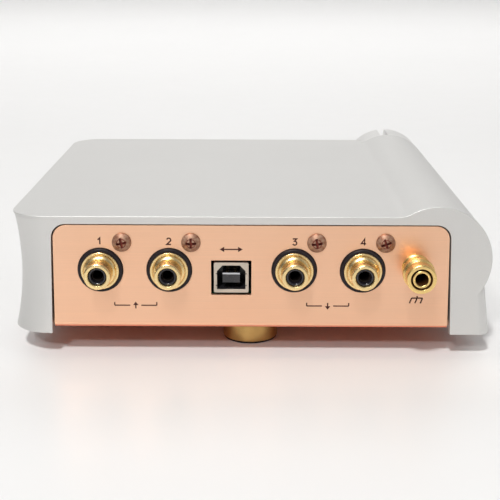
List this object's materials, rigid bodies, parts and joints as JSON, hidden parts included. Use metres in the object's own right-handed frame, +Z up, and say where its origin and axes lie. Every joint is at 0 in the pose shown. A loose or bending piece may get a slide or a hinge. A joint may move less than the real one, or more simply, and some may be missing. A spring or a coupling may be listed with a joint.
{
  "type": "desktop dac",
  "caption": "Small desktop digital-to-analogue converter: aluminium shell with a drum along one side, volume knob, phono, USB and ground sockets on a copper-coloured rear panel.",
  "frame": {"origin": "on the surface it stands on, under the middle of its box", "axes": "+Z up, +Y out of the rear panel, -Y the front with the volume knob, +X away from the drum"},
  "size_m": [0.152, 0.16, 0.049],
  "materials": {
    "shell_aluminium": "fine-blasted satin anodised",
    "knob_aluminium": "turned and satin anodised",
    "copper_sheet": "copper-coloured anodised, finely brushed",
    "gold_plate": "gold plated, polished",
    "contact_gold": "gold flashed",
    "foot_brass": "turned, satin",
    "foot_rubber": "matt",
    "black_plastic": "fine moulded",
    "nickel_plate": "nickel plated, satin",
    "copper_screw": "copper-coloured plating",
    "zinc_steel": "zinc plated",
    "black_steel": "black oxide",
    "pot_housing": "moulded and crimped",
    "circuit_board": "solder mask over glass fibre",
    "chip_black": "moulded",
    "capacitor_sleeve": "shrink sleeve",
    "film_capacitor": "dipped film",
    "ribbon_grey": "flat cable",
    "lens_clear": "frosted light pipe"
  },
  "bodies": {
    "housing": {"top_shell": "shell_aluminium", "chassis_rear_panel": "copper_sheet", "chassis_floor": "copper_sheet", "chassis_front_panel": "copper_sheet", "main_board": "circuit_board", "volume_board": "circuit_board", "board_standoffs": "zinc_steel", "board_screws": "zinc_steel", "foot_screws": "zinc_steel", "cover_screws": "copper_screw", "jack_screws": "copper_screw", "foot_rear": "foot_brass", "foot_pad_rear": "foot_rubber", "foot_front_left": "foot_brass", "foot_pad_front_left": "foot_rubber", "foot_front_right": "foot_brass", "foot_pad_front_right": "foot_rubber", "rca_housing_out_right": "black_plastic", "rca_shell_out_right": "gold_plate", "rca_insulator_out_right": "black_plastic", "rca_contact_out_right": "contact_gold", "rca_housing_out_left": "black_plastic", "rca_shell_out_left": "gold_plate", "rca_insulator_out_left": "black_plastic", "rca_contact_out_left": "contact_gold", "rca_housing_in_right": "black_plastic", "rca_shell_in_right": "gold_plate", "rca_insulator_in_right": "black_plastic", "rca_contact_in_right": "contact_gold", "rca_housing_in_left": "black_plastic", "rca_shell_in_left": "gold_plate", "rca_insulator_in_left": "black_plastic", "rca_contact_in_left": "contact_gold", "usb_shell": "nickel_plate", "usb_insert": "black_plastic", "usb_contacts": "contact_gold", "ground_post": "gold_plate", "ground_collar": "gold_plate", "ground_locknut": "zinc_steel", "ground_lug": "zinc_steel", "volume_pot": "pot_housing", "volume_bushing_nut": "zinc_steel", "volume_ribbon": "ribbon_grey", "phones_sleeve": "nickel_plate", "phones_nut": "nickel_plate", "phones_body": "black_plastic", "phones_contacts": "contact_gold", "status_lens": "lens_clear", "electrolytic_caps": "capacitor_sleeve", "film_caps": "film_capacitor", "main_chips": "chip_black", "crystal_cans": "nickel_plate"},
    "volume": {"volume_knob": "knob_aluminium", "volume_shaft": "zinc_steel", "knob_set_screw": "black_steel"},
    "terminal_washer": {"ground_washer": "gold_plate"},
    "terminal_nut": {"ground_nut": "gold_plate"}
  },
  "joints": [
    {"name": "volume_turn", "type": "hinge", "parent": "housing", "child": "volume", "pos_m": [-0.05785, -0.0639, 0.03175], "axis": [0, 1, 0], "range_deg": [-154.6, 145.4]},
    {"name": "terminal_slide", "type": "slide", "parent": "housing", "child": "terminal_washer", "axis": [0, 1, 0], "range_m": [0, 0.003]},
    {"name": "terminal_turn", "type": "hinge", "parent": "terminal_washer", "child": "terminal_nut", "pos_m": [-0.05133, 0.0765, 0.02979], "axis": [0, 1, 0], "range_deg": [0, 1440.5]}
  ],
  "couplings": [
    {"joint": "terminal_turn", "follows": "terminal_slide", "rad_per_m": 8377.6}
  ]
}
